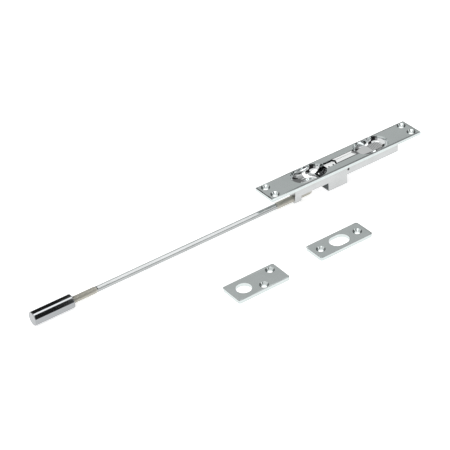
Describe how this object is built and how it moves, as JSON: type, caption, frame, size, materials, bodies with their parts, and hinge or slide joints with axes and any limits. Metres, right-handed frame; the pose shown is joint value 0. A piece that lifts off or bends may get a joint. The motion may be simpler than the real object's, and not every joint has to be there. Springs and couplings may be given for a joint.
{
  "type": "flush bolt",
  "caption": "Lever extension flush bolt: a slim faceplate with two oval finger cups, a turning lever, a long threaded rod with a round bolt tip, and its two loose plates.",
  "frame": {"origin": "centre of the faceplate's front face, on the centre line of its four screw holes", "axes": "+X along the faceplate away from the bolt tip, +Y across the door's thickness, +Z out of the door's edge"},
  "size_m": [0.4096, 0.1005, 0.0263],
  "materials": {
    "polished_chrome": "bright polished chrome plate",
    "bright_case": "chrome plate over pressed steel, softly bright",
    "zinc_steel": "bright zinc plated steel",
    "threaded_steel": "bright plated rod with rolled threads",
    "dark_steel": "dark plain steel"
  },
  "bodies": {
    "case": {"faceplate": "polished_chrome", "case": "bright_case", "case_rivets": "bright_case", "cup_left": "polished_chrome", "cup_right": "polished_chrome", "lever_pin": "dark_steel", "crank_guard": "bright_case", "guard_rivets": "bright_case", "slide_strap": "zinc_steel", "strap_rivets": "zinc_steel", "slide_spring": "dark_steel", "spring_rivet": "zinc_steel", "guide_plate": "polished_chrome", "strike_plate": "polished_chrome"},
    "lever": {"lever": "polished_chrome"},
    "slide": {"slide_bar": "zinc_steel", "slide_pin": "dark_steel", "rod_connector": "zinc_steel", "connector_rivets": "zinc_steel"},
    "rod": {"rod": "threaded_steel", "bolt_tip": "polished_chrome"}
  },
  "joints": [
    {"name": "lever_turn", "type": "hinge", "parent": "case", "child": "lever", "pos_m": [0, 0, -0.005], "axis": [0, -1, 0], "range_deg": [0, 180]},
    {"name": "bolt_slide", "type": "slide", "parent": "case", "child": "slide", "axis": [1, 0, 0], "range_m": [0, 0.01905]},
    {"name": "rod_turn", "type": "hinge", "parent": "slide", "child": "rod", "pos_m": [-0.051, 0, -0.01905], "axis": [1, 0, 0], "range_deg": [-180, 180]}
  ],
  "couplings": [
    {"joint": "lever_turn", "follows": "bolt_slide", "rad_per_m": 164.91}
  ]
}
